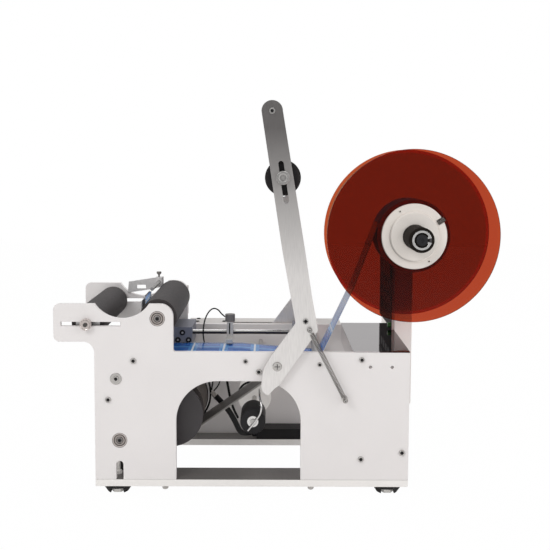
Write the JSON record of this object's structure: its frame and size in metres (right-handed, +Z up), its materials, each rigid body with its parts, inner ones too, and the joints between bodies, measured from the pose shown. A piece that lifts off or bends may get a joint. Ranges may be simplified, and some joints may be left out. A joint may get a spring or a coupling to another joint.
{
  "type": "semi-automatic round bottle labelling machine",
  "caption": "Bench labelling machine for round bottles: two side plates, bottle rollers, a swinging press arm, label reel with clear discs, label table and peel edge, rewind spool and drives.",
  "frame": {"origin": "on the bench, in the middle of the machine's length and depth", "axes": "+X along the machine from the bottle rollers to the label reel, +Y from the near side plate to the far one, +Z up"},
  "size_m": [0.665, 0.358, 0.5792],
  "materials": {
    "cream_paint": "semi-gloss powder coat",
    "grey_paint": "semi-gloss powder coat",
    "roller_rubber": "ground rubber",
    "black_rubber": "moulded rubber",
    "bright_steel": "turned",
    "black_steel": "blackened",
    "aluminium": "machined",
    "bearing_steel": "ground",
    "mirror_sheet": "polished stainless sheet",
    "red_acrylic": "clear tinted acrylic",
    "white_plastic": "turned plastic",
    "black_plastic": "moulded",
    "dark_anodised": "anodised",
    "label_film": "printed film on a liner",
    "liner_paper": "glassine paper",
    "panel_plastic": "membrane panel",
    "display_window": "window",
    "green_plastic": "moulded",
    "belt_rubber": "toothed belt"
  },
  "bodies": {
    "frame": {"near_side_plate": "cream_paint", "far_side_plate": "cream_paint", "base_rails": "cream_paint", "rubber_feet": "black_rubber", "foot_studs": "bright_steel", "tie_rods": "bright_steel", "plate_screws": "bright_steel", "ball_bearings": "bearing_steel", "tension_spring": "bright_steel", "reel_shaft": "bright_steel", "label_table": "bright_steel", "table_blocks": "dark_anodised", "sensor_rod": "bright_steel", "sensor_body": "black_plastic", "sensor_knob": "black_plastic", "feed_motor": "grey_paint", "feed_belt": "belt_rubber", "drive_motor": "black_steel", "drive_belt": "belt_rubber", "rear_cover": "mirror_sheet", "side_housing": "grey_paint", "control_housing": "cream_paint", "control_panel": "panel_plastic", "display": "display_window", "stop_bracket": "bright_steel", "stop_thumb_screw": "black_plastic", "label_web": "label_film", "backing_web": "liner_paper", "sensor_lead": "black_plastic", "supply_lead": "black_plastic", "supply_box": "black_plastic", "belt_guard": "cream_paint"},
    "driven_roller": {"driven_roller_core": "aluminium", "driven_roller_rubber": "roller_rubber"},
    "drive_shaft": {"drive_shaft": "bright_steel"},
    "front_carriage": {"front_axle": "bright_steel"},
    "front_roller": {"front_roller_core": "aluminium", "front_roller_rubber": "roller_rubber"},
    "press_arm": {"near_press_arm": "grey_paint", "far_press_arm": "grey_paint", "arm_bars": "bright_steel"},
    "press_carriage": {"press_axle": "bright_steel"},
    "press_roller": {"press_roller_core": "aluminium", "press_roller_rubber": "roller_rubber"},
    "feed_roller": {"feed_roller": "bright_steel"},
    "feed_motor_shaft": {"feed_motor_shaft": "aluminium"},
    "rewind": {"rewind_spool": "black_plastic", "wound_backing": "liner_paper"},
    "reel": {"reel_sleeve": "bright_steel", "far_hub": "white_plastic", "far_disc": "red_acrylic", "label_roll": "label_film"},
    "reel_front": {"near_hub": "white_plastic", "near_disc": "red_acrylic", "hub_clamp_screw": "bright_steel"},
    "guide_roller": {"guide_roller": "aluminium"},
    "tension_roller": {"tension_roller": "black_plastic"},
    "stop_rod": {"stop_rod": "bright_steel"},
    "start_button": {"start_button": "green_plastic"}
  },
  "joints": [
    {"name": "driven_roller_spin", "type": "hinge", "parent": "frame", "child": "driven_roller", "pos_m": [-0.1819, -0.059, 0.265], "axis": [0, 1, 0], "continuous": true},
    {"name": "drive_shaft_spin", "type": "hinge", "parent": "frame", "child": "drive_shaft", "pos_m": [-0.2379, -0.059, 0.0849], "axis": [0, 1, 0], "continuous": true},
    {"name": "front_roller_slide", "type": "slide", "parent": "frame", "child": "front_carriage", "axis": [1, 0, 0], "range_m": [-0.034, 0.038]},
    {"name": "front_roller_spin", "type": "hinge", "parent": "front_carriage", "child": "front_roller", "pos_m": [-0.2847, -0.059, 0.2569], "axis": [0, 1, 0], "continuous": true},
    {"name": "press_arm_hinge", "type": "hinge", "parent": "frame", "child": "press_arm", "pos_m": [-0.0078, -0.059, 0.1978], "axis": [0, 1, 0], "range_deg": [-62, 0], "deforming": ["tension_spring"]},
    {"name": "press_roller_slide", "type": "slide", "parent": "press_arm", "child": "press_carriage", "axis": [0.1461, 0, -0.9893], "range_m": [-0.018, 0.03]},
    {"name": "press_roller_spin", "type": "hinge", "parent": "press_carriage", "child": "press_roller", "pos_m": [-0.00093, -0.059, 0.46972], "axis": [0, 1, 0], "continuous": true},
    {"name": "feed_roller_spin", "type": "hinge", "parent": "frame", "child": "feed_roller", "pos_m": [-0.0205, -0.059, 0.168], "axis": [0, 1, 0], "continuous": true},
    {"name": "feed_motor_spin", "type": "hinge", "parent": "frame", "child": "feed_motor_shaft", "pos_m": [0.0075, -0.059, 0.158], "axis": [0, 1, 0], "continuous": true},
    {"name": "rewind_spin", "type": "hinge", "parent": "frame", "child": "rewind", "pos_m": [-0.168, -0.059, 0.1124], "axis": [0, 1, 0], "continuous": true},
    {"name": "reel_spin", "type": "hinge", "parent": "frame", "child": "reel", "pos_m": [0.2, -0.059, 0.3805], "axis": [0, 1, 0], "continuous": true},
    {"name": "reel_front_slide", "type": "slide", "parent": "reel", "child": "reel_front", "axis": [0, -1, 0], "range_m": [0, 0.05]},
    {"name": "guide_roller_spin", "type": "hinge", "parent": "frame", "child": "guide_roller", "pos_m": [0.0541, -0.059, 0.1987], "axis": [0, 1, 0], "continuous": true},
    {"name": "tension_roller_spin", "type": "hinge", "parent": "frame", "child": "tension_roller", "pos_m": [-0.0437, -0.059, 0.104], "axis": [0, 1, 0], "continuous": true},
    {"name": "stop_rod_slide", "type": "slide", "parent": "frame", "child": "stop_rod", "axis": [0, 1, 0], "range_m": [-0.01, 0.06]},
    {"name": "start_button_press", "type": "slide", "parent": "frame", "child": "start_button", "axis": [1, 0, 0], "range_m": [0, 0.003], "stiffness_N_per_m": 300}
  ],
  "couplings": [
    {"joint": "drive_shaft_spin", "follows": "driven_roller_spin", "ratio": 1},
    {"joint": "feed_motor_spin", "follows": "feed_roller_spin", "ratio": 1}
  ]
}
